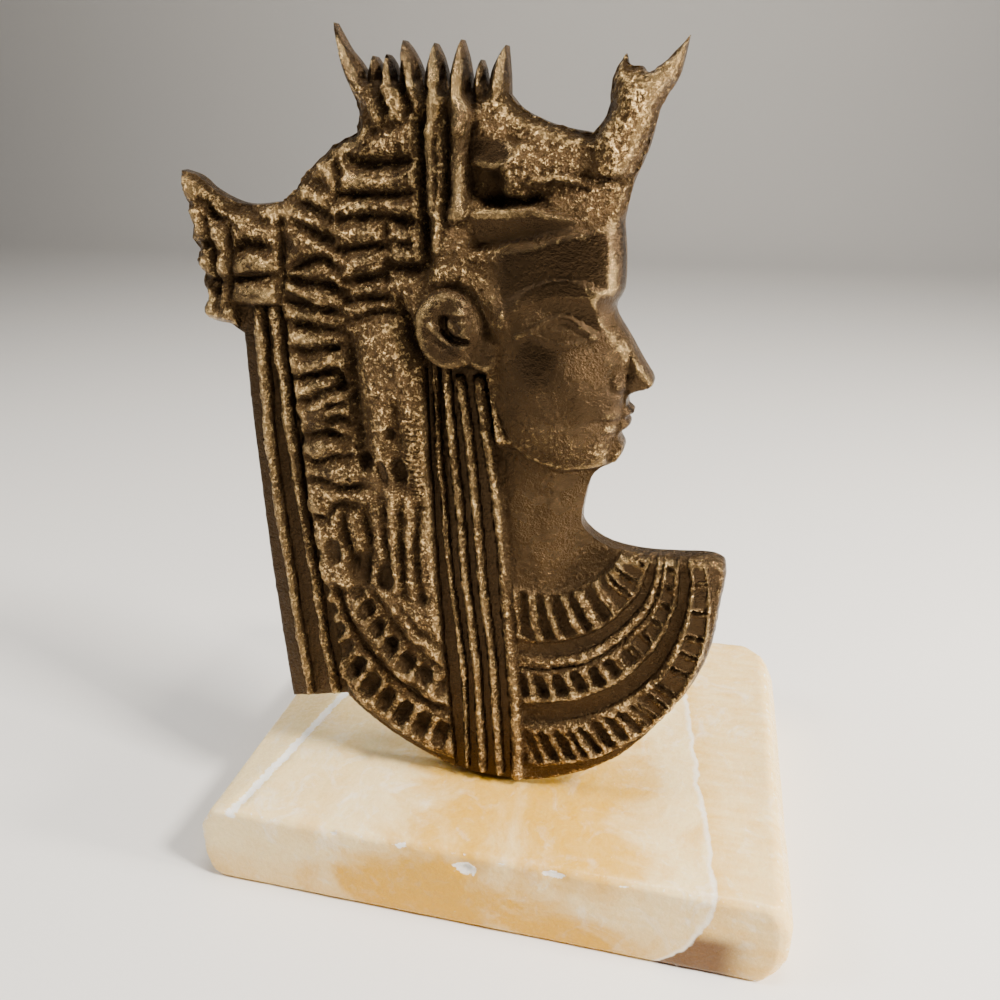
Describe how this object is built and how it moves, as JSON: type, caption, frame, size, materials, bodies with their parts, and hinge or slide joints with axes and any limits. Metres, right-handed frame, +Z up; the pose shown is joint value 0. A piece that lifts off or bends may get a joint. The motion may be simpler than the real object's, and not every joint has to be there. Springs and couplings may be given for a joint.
{
  "type": "egyptian bust",
  "caption": "Cast relief bust of a crowned woman in profile, in ancient Egyptian style, standing on a rough-cut translucent stone slab.",
  "frame": {"origin": "centre of the stone slab's underside", "axes": "+Z up, the relief faces -Y, the profile looks along +X"},
  "size_m": [0.1398, 0.101, 0.1892],
  "materials": {
    "cast_bronze": "dark brown patina over sand-cast brass, golden where it is rubbed",
    "onyx": "white to honey translucent stone, sawn and half polished, worn edges"
  },
  "bodies": {
    "root": {"bust": "cast_bronze", "stone_base": "onyx"}
  },
  "joints": []
}
